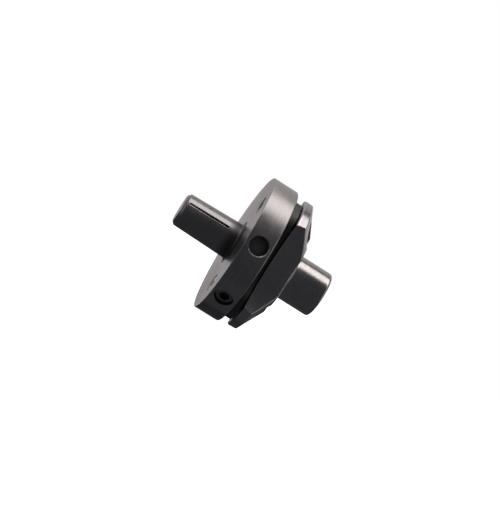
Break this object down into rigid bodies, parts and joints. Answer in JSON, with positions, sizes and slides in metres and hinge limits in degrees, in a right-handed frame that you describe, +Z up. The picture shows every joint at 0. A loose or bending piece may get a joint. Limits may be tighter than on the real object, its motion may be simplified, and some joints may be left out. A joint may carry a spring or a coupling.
{
  "type": "jaw coupling",
  "caption": "Floating jaw coupling: a disc on a short taper shank drives a lobed flange on a round stub through a sliding centre plate.",
  "frame": {"origin": "on the coupling's axis, half-way along its whole length", "axes": "+X along the axis from the taper shank to the round stub, +Z up, with one scallop of the flange facing -Y"},
  "size_m": [0.0682, 0.062, 0.062],
  "materials": {
    "blackened_steel": "black oxide, satin",
    "black_fastener": "black oxide, fine machined",
    "plain_fastener": "turned, lightly oiled",
    "hardened_steel": "ground"
  },
  "bodies": {
    "drive_half": {"drive_hub": "blackened_steel", "drive_jaw_1": "hardened_steel", "drive_jaw_2": "hardened_steel", "jaw_pin_1": "hardened_steel", "jaw_pin_2": "hardened_steel", "plug_screw_1": "black_fastener", "plug_screw_2": "black_fastener", "tie_bolt_1": "black_fastener", "tie_bolt_2": "black_fastener", "tie_bolt_3": "black_fastener", "tie_washer_1": "plain_fastener", "tie_washer_2": "plain_fastener", "tie_washer_3": "plain_fastener", "tie_nut_1": "plain_fastener", "tie_nut_2": "plain_fastener", "tie_nut_3": "plain_fastener", "drive_thrust_pad": "hardened_steel"},
    "centre_plate": {"centre_plate": "blackened_steel"},
    "thrust_ball": {"thrust_ball": "hardened_steel"},
    "driven_half": {"driven_hub": "blackened_steel", "driven_jaw_1": "hardened_steel", "driven_jaw_2": "hardened_steel", "driven_jaw_screw_1": "black_fastener", "driven_jaw_screw_2": "black_fastener", "driven_thrust_pad": "hardened_steel"}
  },
  "joints": [
    {"name": "drive_float", "type": "slide", "parent": "drive_half", "child": "centre_plate", "axis": [0, -0.7431, -0.6691], "range_m": [-0.0004, 0.0004]},
    {"name": "driven_float", "type": "slide", "parent": "centre_plate", "child": "thrust_ball", "axis": [0, -0.6691, 0.7431], "range_m": [-0.0004, 0.0004]},
    {"name": "driven_tilt", "type": "hinge", "parent": "thrust_ball", "child": "driven_half", "pos_m": [0.0059, 0, 0], "axis": [0, -0.7431, -0.6691], "range_deg": [-0.7, 0.7]}
  ]
}
